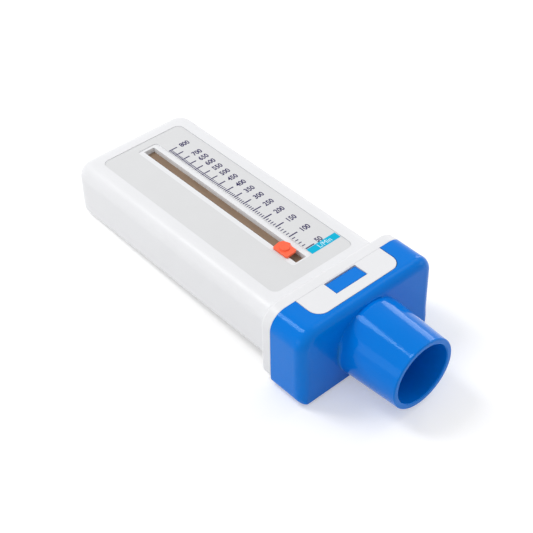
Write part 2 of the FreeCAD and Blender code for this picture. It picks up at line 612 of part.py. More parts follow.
def rod_front_holder():
    """Open spider across the housing's mouth."""
    y0 = FRONT_HOLDER_Y
    y1 = y0 + HOLDER_THICKNESS
    half = CHAMBER_HALF - FIT
    bottom = FLOOR + FIT
    top = CEILING - FIT
    corner = BODY_TOP_CORNER - SIDE_WALL
    opening = tunnel(half - HOLDER_RIM, bottom + HOLDER_RIM, top - HOLDER_RIM, corner - HOLDER_RIM / 2, 0.6,
                     y0 - 1, y1 + 1)
    frame = tunnel(half, bottom, top, corner, 1.0, y0, y1).cut(opening)
    hub = rod(HOLDER_HUB_DIAMETER / 2, y0, y1 + FRONT_HUB_LENGTH)
    arm = block(1 - half, half - 1, y0, y1, AXIS_HEIGHT - SPOKE_WIDTH / 2, AXIS_HEIGHT + SPOKE_WIDTH / 2)
    struts = [block(x - SPOKE_WIDTH / 2, x + SPOKE_WIDTH / 2, y0, y1, bottom + 1, top - 1)
              for x in (-half / 2, 0, half / 2)]
    bore = rod(ROD_DIAMETER / 2 + RUNNING, y0 - 1, y1 + FRONT_HUB_LENGTH + 1)
    return join(frame, hub, arm, *struts).cut(bore)


def rod_rear_holder():
    y0 = REAR_HOLDER_Y
    y1 = y0 + HOLDER_THICKNESS
    half = REAR_HOLDER_WIDTH / 2 - CLOSE
    bracket = tunnel(half, FLOOR + FIT, CEILING - FIT, 2.0, 2.0, y0, y1)
    cuts = [rod(ROD_DIAMETER / 2 + RUNNING, y0 - 1, y1 + 1)]
    for side in (-1, 1):
        window = tunnel(half / 2 - 1.6, FLOOR + 3, CEILING - 3, 1.5, 1.5, y0 - 1, y1 + 1)
        window.translate(Vector(side * (half / 2 + HOLDER_HUB_DIAMETER / 4), 0, 0))
        cuts.append(window)
    return bracket.cut(cuts)


def clip_groove_places():
    """Near faces of the two retaining clips, one outside each holder."""
    return (FRONT_HOLDER_Y - CLIP_THICKNESS - CLOSE, REAR_HOLDER_Y + HOLDER_THICKNESS + CLOSE)


def guide_rod():
    shaft = rod(ROD_DIAMETER / 2, ROD_START, ROD_END)
    ends = edges_where(shaft, is_circle)
    shaft = shaft.makeChamfer(0.3, ends)
    grooves = [rod(ROD_DIAMETER, y, y + CLIP_THICKNESS).cut(rod(ROD_DIAMETER / 2 - 0.3, y - 1, y + 2))
               for y in clip_groove_places()]
    return shaft.cut(grooves)


def rod_clips():
    """Two open retaining rings in the rod's grooves."""
    clips = []
    for y in clip_groove_places():
        y0 = y + RUNNING
        y1 = y + CLIP_THICKNESS - RUNNING
        ring = rod(CLIP_DIAMETER / 2, y0, y1).cut(rod(ROD_DIAMETER / 2 - 0.25, y0 - 1, y1 + 1))
        mouth = block(-0.8, 0.8, y0 - 1, y1 + 1, AXIS_HEIGHT - CLIP_DIAMETER, AXIS_HEIGHT)
        clips.append(ring.cut(mouth))
    return Part.makeCompound(clips)


def front_bumper():
    y0 = FRONT_HOLDER_Y + HOLDER_THICKNESS + FRONT_HUB_LENGTH
    return rod(BUMPER_DIAMETER / 2, y0, y0 + FRONT_BUMPER_LENGTH).cut(
        rod(ROD_DIAMETER / 2 + RUNNING, y0 - 1, y0 + FRONT_BUMPER_LENGTH + 1))


def rear_bumper():
    y1 = WASHER_NEAR
    return rod(BUMPER_DIAMETER / 2, REAR_BUMPER_START, y1).cut(
        rod(ROD_DIAMETER / 2 + RUNNING, REAR_BUMPER_START - 1, y1 + 1))


def spring_washer():
    return rod(SPRING_DIAMETER / 2 + 0.5, WASHER_NEAR, WASHER_NEAR + WASHER_THICKNESS).cut(
        rod(ROD_DIAMETER / 2 + RUNNING, WASHER_NEAR - 1, WASHER_NEAR + 2))


def return_spring():
    """Soft compression spring round the rod, from the hub's shoulder to the washer."""
    start = HUB_FAR + SPRING_WIRE / 2 + CLOSE
    end = WASHER_NEAR - SPRING_WIRE / 2 - CLOSE
    pitch = (end - start) / SPRING_TURNS
    helix = Part.makeHelix(pitch, end - start, SPRING_MEAN_RADIUS)
    helix.rotate(Vector(0, 0, 0), Vector(1, 0, 0), -90)
    helix.translate(Vector(0, start, AXIS_HEIGHT))
    first = helix.Edges[0]
    tangent = first.tangentAt(first.FirstParameter)
    ring = Part.Wire(Part.makeCircle(SPRING_WIRE / 2, first.valueAt(first.FirstParameter), tangent))
    return Part.Wire(helix.Edges).makePipeShell([ring], True, True)


def piston_outline(inset, y):
    return section(PISTON_HALF - inset, PISTON_BOTTOM + inset, PISTON_TOP - inset,
                   PISTON_CORNER + 1 - inset, PISTON_CORNER - inset, y)


def piston_vane():
    """Thin plate that fills the chamber, with skirt, ribs, hub and the finger for the pointer's foot."""
    y0 = PISTON_Y
    y1 = y0 + PISTON_PLATE
    skirt_end = y0 + PISTON_SKIRT
    disc = Part.Face(piston_outline(0, y0)).extrude(ALONG * PISTON_SKIRT)
    disc = disc.cut(Part.Face(piston_outline(PISTON_SKIRT_WALL, y1)).extrude(ALONG * PISTON_SKIRT))
    hub = rod(HUB_DIAMETER / 2, HUB_NEAR, HUB_FAR)
    spigot = rod(SPRING_INNER_RADIUS - SLIDE, HUB_FAR, HUB_FAR + HUB_SPIGOT_LENGTH)
    ribs = []
    for i in range(PISTON_RIBS):
        x = (PISTON_HALF - 1) * (2 * (i + 0.5) / PISTON_RIBS - 1)
        ribs.append(block(x - 0.4, x + 0.4, y0, skirt_end - 1, PISTON_BOTTOM + 0.5, PISTON_TOP - 0.5))
    gusset = prism_along_x([(y1 - 0.5, AXIS_HEIGHT - 1), (y1 - 0.5, PISTON_TOP - 2),
                            (HUB_FAR - 1, AXIS_HEIGHT + 3), (HUB_FAR - 1, AXIS_HEIGHT - 1)], -0.5, 0.5)
    finger = block(BLADE_X - FINGER_WIDTH / 2, BLADE_X + FINGER_WIDTH / 2, y0, FOOT_NEAR - CLOSE,
                   PISTON_TOP - FINGER_HEIGHT, PISTON_TOP - 0.2)
    bore = rod(BUSH_DIAMETER / 2, HUB_NEAR - 1, HUB_FAR + HUB_SPIGOT_LENGTH + 1)
    return join(disc, hub, spigot, finger, gusset, *ribs).cut(bore)


def piston_bush():
    end = HUB_FAR + HUB_SPIGOT_LENGTH
    return rod(BUSH_DIAMETER / 2, HUB_NEAR, end).cut(rod(ROD_DIAMETER / 2 + RUNNING, HUB_NEAR - 1, end + 1))


def orifice_plate():
    """Plate with a slot that widens along the travel, so that more air escapes at higher flow."""
    half = CHAMBER_HALF - FIT
    sheet = block(-half, half, ORIFICE_PLATE_NEAR, ORIFICE_PLATE_FAR, ORIFICE_UNDERSIDE, ORIFICE_TOP)
    loop = rounded_loop([(-ORIFICE_NARROW / 2, ORIFICE_NEAR), (ORIFICE_NARROW / 2, ORIFICE_NEAR),
                         (ORIFICE_WIDE / 2, ORIFICE_FAR), (-ORIFICE_WIDE / 2, ORIFICE_FAR)],
                        [ORIFICE_NARROW / 4, ORIFICE_NARROW / 4, ORIFICE_WIDE / 4, ORIFICE_WIDE / 4],
                        lambda u, v: Vector(u, v, ORIFICE_UNDERSIDE - 1))
    taper = Part.Face(loop).extrude(UP * (ORIFICE_PLATE + 2))
    holes = [post(PLATE_SCREW_DIAMETER / 2 + FIT, x, y, ORIFICE_UNDERSIDE - 1, ORIFICE_TOP + 1)
             for x, y in plate_screw_places()]
    return sheet.cut([taper, *holes])


def screw(head_radius, head_height, shank_radius, length):
    """Pan-head screw, its head's seat at z = 0 and its shank down to z = -length."""
    head = Part.makeCylinder(head_radius, head_height)
    rim = edges_where(head, lambda e: spans(e, "Z")[0] > head_height - 1e-6)
    head = head.makeFillet(head_height * 0.4, rim)
    shank = Part.makeCylinder(shank_radius, length, Vector(0, 0, -length))
    tip = edges_where(shank, lambda e: is_circle(e) and spans(e, "Z")[1] < -length + 1e-6)
    shank = shank.makeChamfer(shank_radius * 0.4, tip)
    cross = [Part.makeBox(head_radius * 1.1, head_radius * 0.3, head_height,
                          Vector(-head_radius * 0.55, -head_radius * 0.15, head_height * 0.55)),
             Part.makeBox(head_radius * 0.3, head_radius * 1.1, head_height,
                          Vector(-head_radius * 0.15, -head_radius * 0.55, head_height * 0.55))]
    return head.fuse(shank).removeSplitter().cut(cross)


def cover_screws():
    """Four screws from below, their heads in the counterbores."""
    screws = []
    head_height = COUNTERBORE_DEPTH / 2
    for x, y in cover_screw_places():
        one = screw(COVER_SCREW_HEAD / 2, head_height, COVER_SCREW_DIAMETER / 2, COVER_SCREW_LENGTH)
        one.rotate(Vector(0, 0, 0), Vector(1, 0, 0), 180)
        one.translate(Vector(x, y, BODY_BOTTOM + COUNTERBORE_DEPTH))
        screws.append(one)
    return Part.makeCompound(screws)


def orifice_screws():
    screws = []
    for x, y in plate_screw_places():
        one = screw(PLATE_SCREW_HEAD / 2, PLATE_SCREW_HEAD_HEIGHT, PLATE_SCREW_DIAMETER / 2,
                    PLATE_SCREW_LENGTH)
        one.translate(Vector(x, y, ORIFICE_TOP))
        screws.append(one)
    return Part.makeCompound(screws)


PIECES = {
    "front_shell": front_shell,
    "rear_cover": rear_cover,
    "scale_label": scale_label,
    "slot_strip": slot_strip,
    "pointer": pointer,
    "pointer_foot": pointer_foot,
    "pointer_brake": pointer_brake,
    "mouthpiece_cap": mouthpiece_cap,
    "cap_latch": cap_latch,
    "cap_gasket": cap_gasket,
    "inlet_grille": inlet_grille,
    "rod_front_holder": rod_front_holder,
    "rod_rear_holder": rod_rear_holder,
    "guide_rod": guide_rod,
    "rod_clips": rod_clips,
    "front_bumper": front_bumper,
    "rear_bumper": rear_bumper,
    "spring_washer": spring_washer,
    "return_spring": return_spring,
    "piston_vane": piston_vane,
    "piston_bush": piston_bush,
    "orifice_plate": orifice_plate,
    "orifice_screws": orifice_screws,
    "cover_screws": cover_screws,
}

os.makedirs("parts", exist_ok=True)
for name, make in PIECES.items():
    piece = make()
    piece.translate(ORIGIN_SHIFT)
    piece.exportStep("parts/" + name + ".step")
    box = piece.BoundBox
    print(f"{name:18s} solids {len(piece.Solids)} valid {piece.isValid()} volume {piece.Volume:10.1f} "
          f"x {box.XMin:6.1f} {box.XMax:6.1f} y {box.YMin:6.1f} {box.YMax:6.1f} "
          f"z {box.ZMin:5.1f} {box.ZMax:5.1f}")
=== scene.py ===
import math

import bmesh
import bpy
from mathutils import Matrix, Vector


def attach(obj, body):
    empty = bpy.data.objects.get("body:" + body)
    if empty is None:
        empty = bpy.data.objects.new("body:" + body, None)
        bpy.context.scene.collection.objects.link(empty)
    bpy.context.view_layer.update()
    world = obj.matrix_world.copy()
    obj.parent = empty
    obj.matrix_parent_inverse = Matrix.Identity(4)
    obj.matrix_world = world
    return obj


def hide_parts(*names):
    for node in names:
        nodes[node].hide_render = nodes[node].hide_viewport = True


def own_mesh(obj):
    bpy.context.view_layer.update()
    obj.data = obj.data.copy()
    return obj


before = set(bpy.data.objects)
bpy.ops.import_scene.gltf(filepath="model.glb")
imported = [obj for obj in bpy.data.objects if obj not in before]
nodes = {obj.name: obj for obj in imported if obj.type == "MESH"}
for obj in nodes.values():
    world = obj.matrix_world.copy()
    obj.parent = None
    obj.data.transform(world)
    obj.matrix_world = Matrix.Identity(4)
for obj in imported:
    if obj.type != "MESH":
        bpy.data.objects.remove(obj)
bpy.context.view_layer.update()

MM = 0.001
ALONG_SHIFT = -58.95
AXIS_HEIGHT = 15.4
LABEL_TOP = 28.5


def at(x, y, z):
    """A point in the row frame from millimetres, with y counted from the cap's front face."""
    return Vector((x, y + ALONG_SHIFT, z)) * MM


# Camera, fitted to the photograph
PHOTO_PIXELS = 533
FOCAL_PIXELS = 1213.58
CAMERA_AZIMUTH = math.radians(-40.918)
CAMERA_ELEVATION = math.radians(42.055)
CAMERA_ROLL = math.radians(-1.065)
CAMERA_PLACE = at(-234.34, -213.65, 334.06)
SENSOR_WIDTH = 36.0
CLIP_START = 0.01
CLIP_END = 50


def make_camera():
    az, el, roll = CAMERA_AZIMUTH, CAMERA_ELEVATION, CAMERA_ROLL
    back = Vector((math.sin(az) * math.cos(el), -math.cos(az) * math.cos(el), math.sin(el)))
    right = Vector((math.cos(az), math.sin(az), 0))
    up = back.cross(right)
    turned_right = right * math.cos(roll) + up * math.sin(roll)
    turned_up = up * math.cos(roll) - right * math.sin(roll)
    data = bpy.data.cameras.new("camera")
    data.sensor_width = SENSOR_WIDTH
    data.lens = FOCAL_PIXELS / PHOTO_PIXELS * SENSOR_WIDTH
    data.clip_start = CLIP_START
    data.clip_end = CLIP_END
    camera = bpy.data.objects.new("camera", data)
    bpy.context.scene.collection.objects.link(camera)
    axes = Matrix((turned_right, turned_up, back)).transposed().to_4x4()
    camera.matrix_world = Matrix.Translation(CAMERA_PLACE) @ axes
    bpy.context.scene.camera = camera


# Materials
NOISE_LOW = 0.3
NOISE_HIGH = 0.7
MIX_FIRST_COLOUR = 6
MIX_SECOND_COLOUR = 7
MIX_COLOUR_OUT = 2


class Shader:
    """A Principled material with helpers for its procedural detail."""

    def __init__(self, name, colour, roughness, **sockets):
        self.material = bpy.data.materials.new(name)
        self.material.use_nodes = True
        self.tree = self.material.node_tree
        self.shader = self.tree.nodes["Principled BSDF"]
        self.colour = colour
        self.roughness = roughness
        self.set("Base Color", (*colour, 1))
        self.set("Roughness", roughness)
        for socket, value in sockets.items():
            self.set(socket.replace("_", " "), value)
        self.place = self.tree.nodes.new("ShaderNodeTexCoord").outputs["Object"]

    def set(self, socket, value):
        self.shader.inputs[socket].default_value = value

    def link(self, out, into):
        self.tree.links.new(out, into)

    def noise(self, scale, detail=2.0, stretch=None):
        place = self.place
        if stretch:
            mapping = self.tree.nodes.new("ShaderNodeMapping")
            mapping.inputs["Scale"].default_value = stretch
            self.link(place, mapping.inputs["Vector"])
            place = mapping.outputs["Vector"]
        texture = self.tree.nodes.new("ShaderNodeTexNoise")
        texture.inputs["Scale"].default_value = scale
        texture.inputs["Detail"].default_value = detail
        self.link(place, texture.inputs["Vector"])
        return texture.outputs["Fac"]

    def spread(self, value, low, high):
        """Stretches the middle of a noise over a range."""
        node = self.tree.nodes.new("ShaderNodeMapRange")
        node.inputs["From Min"].default_value = NOISE_LOW
        node.inputs["From Max"].default_value = NOISE_HIGH
        node.inputs["To Min"].default_value = low
        node.inputs["To Max"].default_value = high
        self.link(value, node.inputs["Value"])
        return node.outputs["Result"]

    def mottle(self, scale, amount, detail=3.0, stretch=None):
        """Slight light and dark variation of the base colour."""
        mix = self.tree.nodes.new("ShaderNodeMix")
        mix.data_type = "RGBA"
        dark = tuple(max(0.0, c * (1 - amount)) for c in self.colour)
        light = tuple(min(1.0, c * (1 + amount)) for c in self.colour)
        mix.inputs[MIX_FIRST_COLOUR].default_value = (*dark, 1)
        mix.inputs[MIX_SECOND_COLOUR].default_value = (*light, 1)
        self.link(self.spread(self.noise(scale, detail, stretch), 0, 1), mix.inputs[0])
        self.link(mix.outputs[MIX_COLOUR_OUT], self.shader.inputs["Base Color"])
        return self

    def uneven_gloss(self, scale, amount, stretch=None):
        """Slight variation of the roughness."""
        noise = self.noise(scale, stretch=stretch)
        rough = self.spread(noise, self.roughness - amount, self.roughness + amount)
        self.link(rough, self.shader.inputs["Roughness"])
        return self

    def grain(self, scale, height, detail=1.0, stretch=None):
        """Fine relief, its height in metres."""
        bump = self.tree.nodes.new("ShaderNodeBump")
        bump.inputs["Strength"].default_value = 1.0
        bump.inputs["Distance"].default_value = height
        self.link(self.noise(scale, detail, stretch), bump.inputs["Height"])
        self.link(bump.outputs["Normal"], self.shader.inputs["Normal"])
        return self


white_plastic = Shader("white_abs", (0.81, 0.815, 0.835), 0.36, Specular_IOR_Level=0.35)
white_plastic.mottle(60, 0.008).uneven_gloss(140, 0.04).grain(2600, 0.000006)
label_film = Shader("label_film", (0.70, 0.705, 0.715), 0.42, Specular_IOR_Level=0.3)
label_film.mottle(90, 0.008).uneven_gloss(400, 0.04).grain(4200, 0.000004)
blue_plastic = Shader("blue_abs", (0.0, 0.19, 0.72), 0.09, Specular_IOR_Level=0.16,
                      Specular_Tint=(0.5, 0.8, 1.0, 1.0))
blue_plastic.mottle(70, 0.015).uneven_gloss(180, 0.02).grain(1900, 0.000002)
red_plastic = Shader("red_plastic", (0.98, 0.14, 0.06), 0.32, Specular_IOR_Level=0.3)
red_plastic.mottle(500, 0.03).uneven_gloss(900, 0.05).grain(5200, 0.000006)
taupe_plastic = Shader("taupe_strip", (0.27, 0.185, 0.125), 0.5, Specular_IOR_Level=0.25)
taupe_plastic.mottle(220, 0.07, stretch=(3, 0.4, 1)).uneven_gloss(300, 0.06).grain(3000, 0.00001)
clear_grey = Shader("grey_acetal", (0.6, 0.62, 0.64), 0.45)
clear_grey.mottle(150, 0.03).uneven_gloss(260, 0.05).grain(2400, 0.00001)
piston_plastic = Shader("ivory_plastic", (0.8, 0.8, 0.78), 0.42)
piston_plastic.mottle(150, 0.02).uneven_gloss(260, 0.05).grain(2400, 0.00001)
bush_plastic = Shader("bush_ptfe", (0.9, 0.89, 0.85), 0.35)
bush_plastic.mottle(300, 0.02).uneven_gloss(500, 0.05).grain(3000, 0.000008)
rubber = Shader("seal_rubber", (0.05, 0.05, 0.055), 0.7)
rubber.mottle(200, 0.1).uneven_gloss(300, 0.08).grain(1800, 0.00002)
felt = Shader("felt", (0.5, 0.5, 0.48), 0.95, Sheen_Weight=0.4)
felt.mottle(1500, 0.2).uneven_gloss(900, 0.04).grain(3500, 0.00008, 3.0)
steel = Shader("steel", (0.6, 0.6, 0.6), 0.28, Metallic=1.0)
steel.mottle(400, 0.05, stretch=(1, 0.1, 1)).uneven_gloss(600, 0.07, (1, 0.1, 1)).grain(2600, 0.000006)
ink = Shader("navy_ink", (0.03, 0.022, 0.1), 0.45, Specular_IOR_Level=0.2)
ink.mottle(900, 0.12).uneven_gloss(900, 0.05).grain(5000, 0.000003)
cyan_ink = Shader("cyan_ink", (0.0, 0.45, 0.68), 0.42, Specular_IOR_Level=0.1)
cyan_ink.mottle(500, 0.03).uneven_gloss(700, 0.04).grain(5000, 0.000003)
white_ink = Shader("white_ink", (0.62, 0.86, 0.93), 0.42, Specular_IOR_Level=0.2)
white_ink.mottle(500, 0.02).uneven_gloss(700, 0.04).grain(5000, 0.000003)

NODE_MATERIALS = {
    white_plastic: ["front_shell", "rear_cover"],
    label_film: ["scale_label"],
    blue_plastic: ["mouthpiece_cap", "cap_latch", "inlet_grille"],
    red_plastic: ["pointer", "pointer_foot"],
    taupe_plastic: ["slot_strip"],
    clear_grey: ["rod_front_holder", "rod_rear_holder", "orifice_plate"],
    piston_plastic: ["piston_vane"],
    bush_plastic: ["piston_bush"],
    rubber: ["cap_gasket", "front_bumper", "rear_bumper"],
    felt: ["pointer_brake"],
    steel: ["guide_rod", "rod_clips", "return_spring", "spring_washer", "orifice_screws", "cover_screws"],
}


def dress_nodes():
    for shader, names in NODE_MATERIALS.items():
        for name in names:
            slots = nodes[name].data.materials
            slots.clear()
            slots.append(shader.material)


# The printed scale, in litres a minute
INK = 0.04
SCALE_FIRST = 50
SCALE_LAST = 800
SCALE_STEP = 10
NUMBERED_TO = 700
SCALE_START = 39.7
SCALE_FACTOR = 16.67
SCALE_POWER = 0.65
TICK_START = 5.3
TICK_LONG = 4.3
TICK_SHORT = 1.5
TICK_WIDTH = 0.56
FINE_TICK_WIDTH = 0.42
NUMBER_X = 11.2
NUMBER_HEIGHT = 2.55
NUMBER_SQUEEZE = 0.84
NUMBER_STROKE = 0.08
FIRST_NUMBER_UP = 0.9
FONT_HEIGHT_SHARE = 0.7
UNIT_BAND = (5.1, 20.0, 35.8, 39.2)
UNIT_SIZE = 3.2
UNIT_START = (9.6, 36.4)
UNIT_SQUEEZE = 0.95


def scale_place(flow):
    """Where a flow stands on the scale, which closes up towards its far end."""
    return SCALE_START + SCALE_FACTOR * ((flow / SCALE_FIRST) ** SCALE_POWER - 1)


def slab(bm, x0, x1, y0, y1, z0, z1):
    """Adds a thin printed bar to a mesh."""
    corners = ((x0, y0), (x1, y0), (x1, y1), (x0, y1))
    low = [bm.verts.new(at(x, y, z0)) for x, y in corners]
    high = [bm.verts.new(at(x, y, z1)) for x, y in corners]
    bm.faces.new(low[::-1])
    bm.faces.new(high)
    for i in range(4):
        j = (i + 1) % 4
        bm.faces.new((low[i], low[j], high[j], high[i]))


def bridge(bm, rings):
    """Joins each ring of vertices to the next with smooth faces."""
    for first, second in zip(rings, rings[1:]):
        for k in range(len(first)):
            j = (k + 1) % len(first)
            bm.faces.new((first[k], first[j], second[j], second[k]))


def smooth(bm):
    for face in bm.faces:
        face.smooth = True


def piece_from(bm, name, shader, body):
    """Makes a visible piece that moves with a body."""
    mesh = bpy.data.meshes.new(name)
    bmesh.ops.recalc_face_normals(bm, faces=bm.faces)
    bm.to_mesh(mesh)
    bm.free()
    mesh.materials.append(shader.material)
    piece = bpy.data.objects.new(name, mesh)
    bpy.context.scene.collection.objects.link(piece)
    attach(piece, body)
    return piece


def text_mesh(words, size, x, y, z, thickness, squeeze=1.0, stroke=0.0):
    """Mesh of printed letters; x, y is the start of the base line, and stroke thickens the lines."""
    curve = bpy.data.curves.new("words", "FONT")
    curve.body = words
    curve.size = size * MM
    curve.extrude = thickness / 2 * MM
    curve.offset = stroke * MM
    curve.resolution_u = 4
    holder = bpy.data.objects.new("words", curve)
    bpy.context.scene.collection.objects.link(holder)
    bpy.context.view_layer.update()
    ready = holder.evaluated_get(bpy.context.evaluated_depsgraph_get())
    mesh = bpy.data.meshes.new_from_object(ready)
    place = Matrix.Translation(at(x, y, z + thickness / 2))
    mesh.transform(place @ Matrix.Diagonal((squeeze, 1, 1, 1)))
    bpy.data.objects.remove(holder)
    bpy.data.curves.remove(curve)
    return mesh


def add_mesh(bm, mesh):
    bm.from_mesh(mesh)
    bpy.data.meshes.remove(mesh)


def make_scale():
    ticks = bmesh.new()
    for flow in range(SCALE_FIRST, SCALE_LAST + 1, SCALE_STEP):
        long = flow % SCALE_FIRST == 0
        y = scale_place(flow)
        reach = TICK_LONG if long else TICK_SHORT
        half = (TICK_WIDTH if long else FINE_TICK_WIDTH) / 2
        slab(ticks, TICK_START, TICK_START + reach, y - half, y + half, LABEL_TOP, LABEL_TOP + INK)
    piece_from(ticks, "scale_ticks", ink, "housing")

    numbers = bmesh.new()
    size = NUMBER_HEIGHT / FONT_HEIGHT_SHARE
    for flow in (*range(SCALE_FIRST, NUMBERED_TO + 1, SCALE_FIRST), SCALE_LAST):
        y = scale_place(flow) - NUMBER_HEIGHT / 2
        if flow == SCALE_FIRST:
            y += FIRST_NUMBER_UP
        number = text_mesh(str(flow), size, NUMBER_X, y, LABEL_TOP, INK, NUMBER_SQUEEZE, NUMBER_STROKE)
        add_mesh(numbers, number)
    piece_from(numbers, "scale_numbers", ink, "housing")

    band = bmesh.new()
    slab(band, *UNIT_BAND, LABEL_TOP, LABEL_TOP + INK)
    piece_from(band, "unit_band", cyan_ink, "housing")
    unit = bmesh.new()
    add_mesh(unit, text_mesh("L/Min", UNIT_SIZE, *UNIT_START, LABEL_TOP + INK, INK / 2, UNIT_SQUEEZE))
    piece_from(unit, "unit_words", white_ink, "housing")


# The spring, a wire coil put in place of the return spring
SPRING_START = 48.65
SPRING_END = 135.2
SPRING_RADIUS = 3.95
SPRING_WIRE = 0.7
SPRING_TURNS = 12
END_TURNS = 2
CLOSED_PITCH = 1.05 * SPRING_WIRE
STEPS_A_TURN = 24
WIRE_SIDES = 8


def spring_along(turn):
    """How far along the device the wire's middle is after some turns."""
    if turn < END_TURNS:
        return SPRING_START + turn * CLOSED_PITCH
    if turn > SPRING_TURNS + END_TURNS:
        return SPRING_END - (SPRING_TURNS + 2 * END_TURNS - turn) * CLOSED_PITCH
    open_length = SPRING_END - SPRING_START - 2 * END_TURNS * CLOSED_PITCH
    share = (turn - END_TURNS) / SPRING_TURNS
    return SPRING_START + END_TURNS * CLOSED_PITCH + share * open_length


def make_spring():
    """Wire on a helix with closed end coils."""
    rings = []
    bm = bmesh.new()
    for i in range((SPRING_TURNS + 2 * END_TURNS) * STEPS_A_TURN + 1):
        turn = i / STEPS_A_TURN
        angle = 2 * math.pi * turn
        out = Vector((math.cos(angle), 0, math.sin(angle)))
        centre = Vector((0, spring_along(turn), AXIS_HEIGHT)) + out * SPRING_RADIUS
        ring = []
        for k in range(WIRE_SIDES):
            a = 2 * math.pi * k / WIRE_SIDES
            side = out * math.cos(a) + Vector((0, 1, 0)) * math.sin(a)
            ring.append(bm.verts.new(at(*(centre + side * SPRING_WIRE / 2))))
        rings.append(ring)
    bridge(bm, rings)
    bm.faces.new(rings[0][::-1])
    bm.faces.new(rings[-1])
    smooth(bm)
    spring = piece_from(bm, "coil_spring", steel, "housing")
    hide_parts("return_spring")
    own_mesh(spring)


# The cap's front: crisp along its foot, round elsewhere, with a swelling root of the spigot
CAP_HALF = 33.8
CAP_HEIGHT = 34.5
CAP_TOP_CORNER = 7.5
CAP_BOTTOM_CORNER = 3.5
SIDE_POINTS = 30
LONG_POINTS = 60
TOP_CORNER_POINTS = 20
BOTTOM_CORNER_POINTS = 14
FRONT_LEAN = 0.4
FRONT_ROUND = 4.0
LOW_ROUND = 3.4
LOW_ROUND_RISE = 4.5
FOOT_ROUND = 0.5
ROUND_STEPS = 10
FRONT_BACK_EDGE = 4.6
SPIGOT_RADIUS = 15.0
ROOT_CREASE = 0.12
CREASE_STEPS = 3
ROOT_SWELL = 1.3
ROOT_SWELL_LENGTH = 26.6
ROOT_DIVE = 0.06
SWELL_STEPS = 12
RIM_DEPTH = 0.5
HIDDEN_RADIUS = 14.0
HIDDEN_BACK = 1.1
HIDDEN_INSETS = ((3.0, HIDDEN_BACK), (1.0, FRONT_BACK_EDGE))
EDGE_STEP = 0.05
LOWEST = 0.02
FILM = 0.03


def front_place(z):
    return -FRONT_LEAN * (1 - z / CAP_HEIGHT)


def cap_outline():
    """Points round the cap's section as (x, z), each with its outward direction."""
    out = []

    def run(a, b, normal, count):
        for i in range(count):
            share = i / count
            out.append((a[0] + (b[0] - a[0]) * share, a[1] + (b[1] - a[1]) * share, *normal))

    def corner(cx, cz, radius, start, count):
        for i in range(count):
            angle = math.radians(start + 90 * i / count)
            nx, nz = math.cos(angle), math.sin(angle)
            out.append((cx + radius * nx, cz + radius * nz, nx, nz))

    h, top, low = CAP_HALF, CAP_TOP_CORNER, CAP_BOTTOM_CORNER
    run((h, low), (h, CAP_HEIGHT - top), (1, 0), SIDE_POINTS)
    corner(h - top, CAP_HEIGHT - top, top, 0, TOP_CORNER_POINTS)
    run((h - top, CAP_HEIGHT), (top - h, CAP_HEIGHT), (0, 1), LONG_POINTS)
    corner(top - h, CAP_HEIGHT - top, top, 90, TOP_CORNER_POINTS)
    run((-h, CAP_HEIGHT - top), (-h, low), (-1, 0), SIDE_POINTS)
    corner(low - h, low, low, 180, BOTTOM_CORNER_POINTS)
    run((low - h, 0), (h - low, 0), (0, -1), LONG_POINTS)
    corner(h - low, low, low, 270, BOTTOM_CORNER_POINTS)
    return out


def round_at(z, nz):
    """Radius of the front's rounding: full at the top, least along the foot."""
    rise = min(1.0, max(0.0, (z - CAP_BOTTOM_CORNER) / LOW_ROUND_RISE))
    side = LOW_ROUND + (FRONT_ROUND - LOW_ROUND) * rise
    return side + (FOOT_ROUND - side) * max(0.0, -nz) ** 3


def film(nz):
    """How far the surface stands off the cap's own; nothing on the underside."""
    return FILM * (1 + min(0.0, nz))


def inset(x, z, nx, nz, by):
    return x - nx * by, z - nz * by


def rounded_ring(outline, angle):
    """Points of the rounding at an angle, from the side face at 0 to the front face."""
    points = []
    for x, z, nx, nz in outline:
        r = round_at(z, nz)
        px, pz = inset(x, z, nx, nz, r * (1 - math.cos(angle)) - film(nz))
        points.append((px, front_place(pz) + r * (1 - math.sin(angle)), pz))
    return points


def toward_axis(rim, share, radius, forward):
    """Points on the front face, a share of the way from the rim to a circle round the spigot."""
    out = []
    for px, _, pz in rim:
        dx, dz = px, pz - AXIS_HEIGHT
        far = math.hypot(dx, dz)
        r = far + (min(radius, far) - far) * share
        z = AXIS_HEIGHT + dz / far * r
        out.append((dx / far * r, front_place(z) - forward, z))
    return out


def around_axis(rim, radius, y):
    """Points of a circle round the spigot, in the rim points' directions."""
    out = []
    for px, _, pz in rim:
        far = math.hypot(px, pz - AXIS_HEIGHT)
        z = AXIS_HEIGHT + (pz - AXIS_HEIGHT) / far * radius
        out.append((px / far * radius, y, max(LOWEST, z)))
    return out


